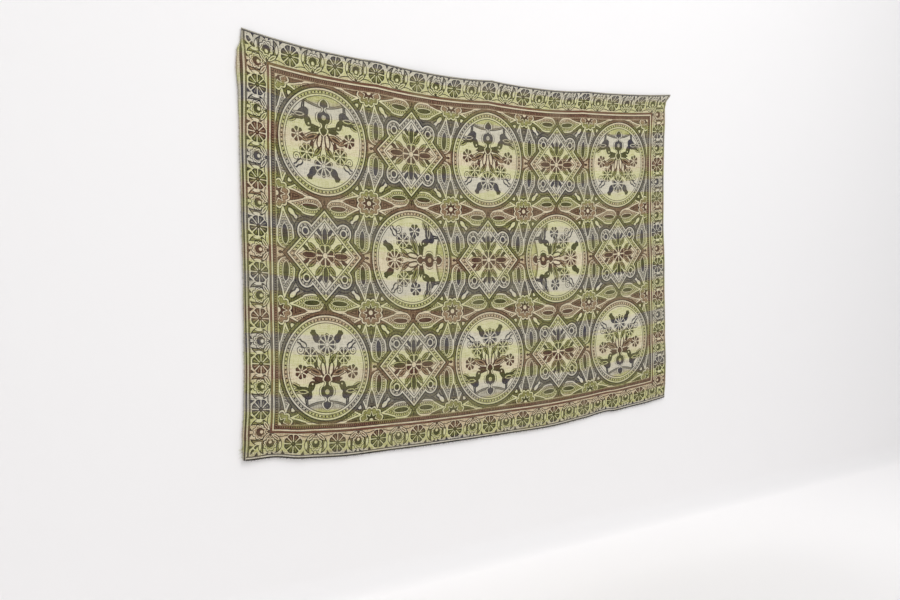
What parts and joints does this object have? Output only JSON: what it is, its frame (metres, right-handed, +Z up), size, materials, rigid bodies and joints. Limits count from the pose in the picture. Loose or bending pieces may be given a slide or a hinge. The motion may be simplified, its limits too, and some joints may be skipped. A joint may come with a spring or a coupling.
{
  "type": "woven tapestry wall hanging",
  "caption": "Large one-piece woven tapestry hung flat on a wall from pins along its top edge, with floral borders, gentle sag and curled selvedges.",
  "frame": {"origin": "at the middle pin on the wall plane, at the middle of the top edge", "axes": "+X across the cloth to the viewer's right, +Y into the wall, +Z up; the face looks along -Y"},
  "size_m": [2.2439, 0.018, 1.56],
  "materials": {
    "woven_cloth": "matt figured weave in browns, slate, moss and yellow-green on cream"
  },
  "bodies": {
    "root": {"tapestry_cloth": "woven_cloth"}
  },
  "joints": []
}
